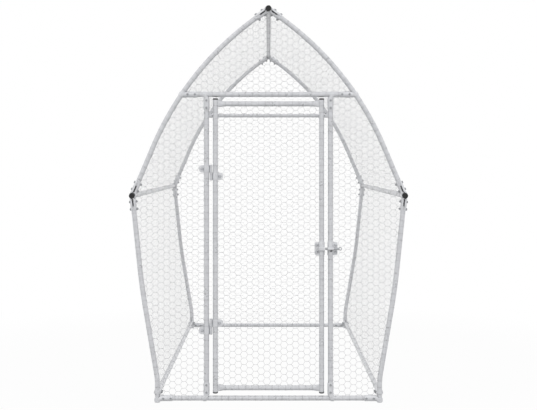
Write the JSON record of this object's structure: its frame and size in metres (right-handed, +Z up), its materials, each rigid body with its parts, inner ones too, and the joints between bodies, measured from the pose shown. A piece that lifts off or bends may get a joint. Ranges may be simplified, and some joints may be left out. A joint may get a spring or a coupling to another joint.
{
  "type": "walk-in poultry run",
  "caption": "Walk-in poultry run of galvanised tube with pointed arch hoops, hexagonal wire netting all round and a hinged door with a sliding latch bolt.",
  "frame": {"origin": "on the ground under the middle of the run", "axes": "+Z up, the door end faces -Y, the ridge runs along Y, +X is to the right of someone facing the door"},
  "size_m": [1.0554, 2, 1.5014],
  "materials": {
    "galvanised_tube": "hot-dip galvanised, satin",
    "pressed_steel": "zinc-plated pressing, satin",
    "zinc_hardware": "bright zinc plate",
    "wire_netting": "galvanised wire",
    "black_plastic": "moulded, matt"
  },
  "bodies": {
    "frame": {"arch_foot_clamps": "pressed_steel", "bottom_rail_clamps": "pressed_steel", "front_bottom_rail": "galvanised_tube", "front_gable_net": "wire_netting", "front_header": "galvanised_tube", "front_left_net": "wire_netting", "front_right_net": "wire_netting", "header_clamps": "pressed_steel", "latch_guide": "zinc_hardware", "left_bottom_rail": "galvanised_tube", "left_door_post": "galvanised_tube", "left_legs": "galvanised_tube", "left_roof_net": "wire_netting", "left_roof_tubes": "galvanised_tube", "left_shoulder_rail": "galvanised_tube", "left_side_net": "wire_netting", "leg_top_clamps": "pressed_steel", "lower_hinge_pin": "zinc_hardware", "lower_hinge_post_leaf": "zinc_hardware", "post_clamps": "pressed_steel", "rail_end_caps": "black_plastic", "rear_bottom_rail": "galvanised_tube", "rear_gable_net": "wire_netting", "rear_header": "galvanised_tube", "rear_wall_net": "wire_netting", "ridge_clamps": "pressed_steel", "ridge_rail": "galvanised_tube", "right_bottom_rail": "galvanised_tube", "right_door_post": "galvanised_tube", "right_legs": "galvanised_tube", "right_roof_net": "wire_netting", "right_roof_tubes": "galvanised_tube", "right_shoulder_rail": "galvanised_tube", "right_side_net": "wire_netting", "side_rail_clamps": "pressed_steel", "upper_hinge_pin": "zinc_hardware", "upper_hinge_post_leaf": "zinc_hardware"},
    "door": {"door_bottom_rail": "galvanised_tube", "door_hinge_stile": "galvanised_tube", "door_latch_stile": "galvanised_tube", "door_net": "wire_netting", "door_stile_caps": "black_plastic", "door_top_rail": "galvanised_tube", "latch_keeper": "zinc_hardware", "lower_hinge_door_leaf": "zinc_hardware", "upper_hinge_door_leaf": "zinc_hardware"},
    "latch_bolt": {"latch_bolt": "zinc_hardware"}
  },
  "joints": [
    {"name": "door_hinge", "type": "hinge", "parent": "frame", "child": "door", "pos_m": [-0.21775, -0.975, 0.582], "axis": [0, 0, -1], "range_deg": [0, 90]},
    {"name": "latch_slide", "type": "slide", "parent": "frame", "child": "latch_bolt", "axis": [-1, 0, 0], "range_m": [0, 0.0175]}
  ]
}
